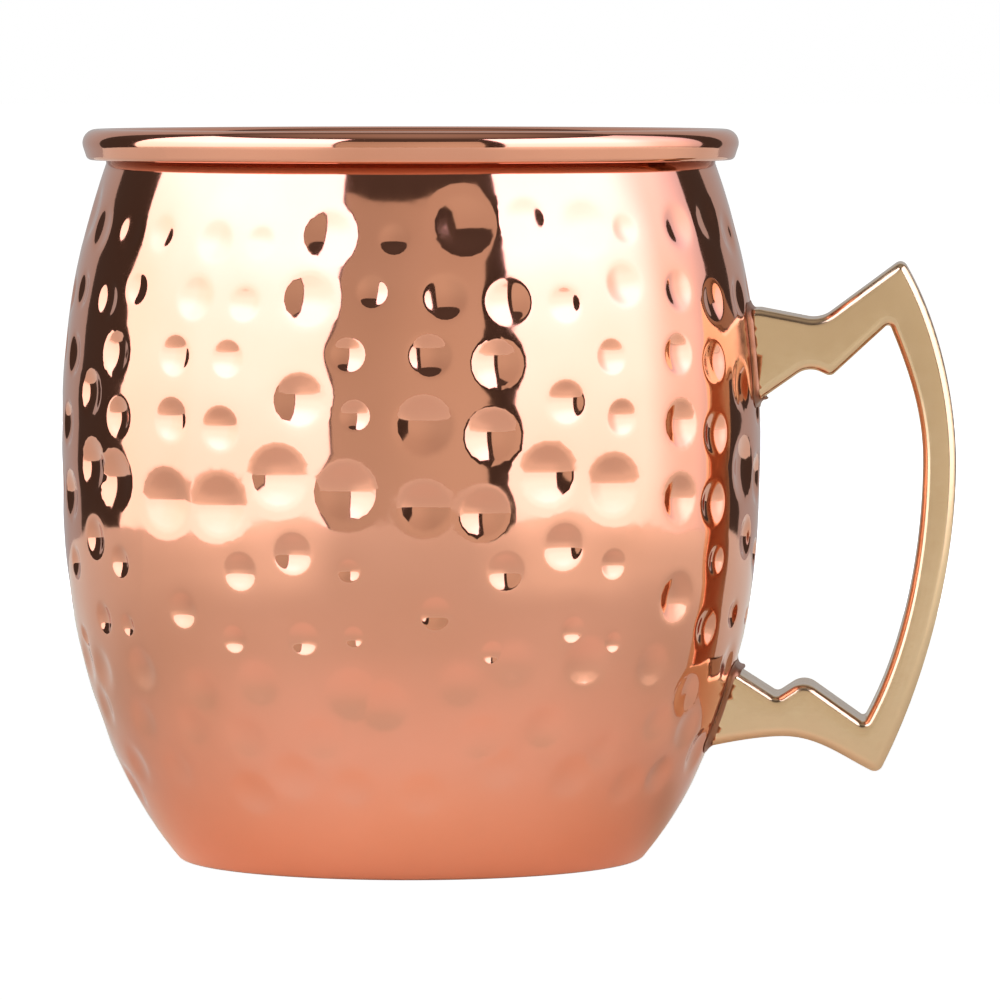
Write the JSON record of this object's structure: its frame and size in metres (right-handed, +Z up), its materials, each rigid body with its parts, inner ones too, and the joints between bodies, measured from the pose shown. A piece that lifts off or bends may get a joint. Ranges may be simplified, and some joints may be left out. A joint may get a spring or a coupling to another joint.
{
  "type": "copper mug",
  "caption": "Barrel-shaped hammered copper mug with a rolled rim, a tinned inside and a cast brass handle.",
  "frame": {"origin": "centre of the flat base, on the axis of the cup", "axes": "+Z up along the cup's axis, +X towards the handle"},
  "size_m": [0.1226, 0.096, 0.1],
  "materials": {
    "copper": "hammered and mirror polished",
    "tin": "satin",
    "steel": "drawn wire",
    "brass": "polished",
    "braze": "polished"
  },
  "bodies": {
    "root": {"body_shell": "copper", "lining": "tin", "rim_wire": "steel", "handle": "brass", "upper_braze_seam": "braze", "lower_braze_seam": "braze"}
  },
  "joints": []
}
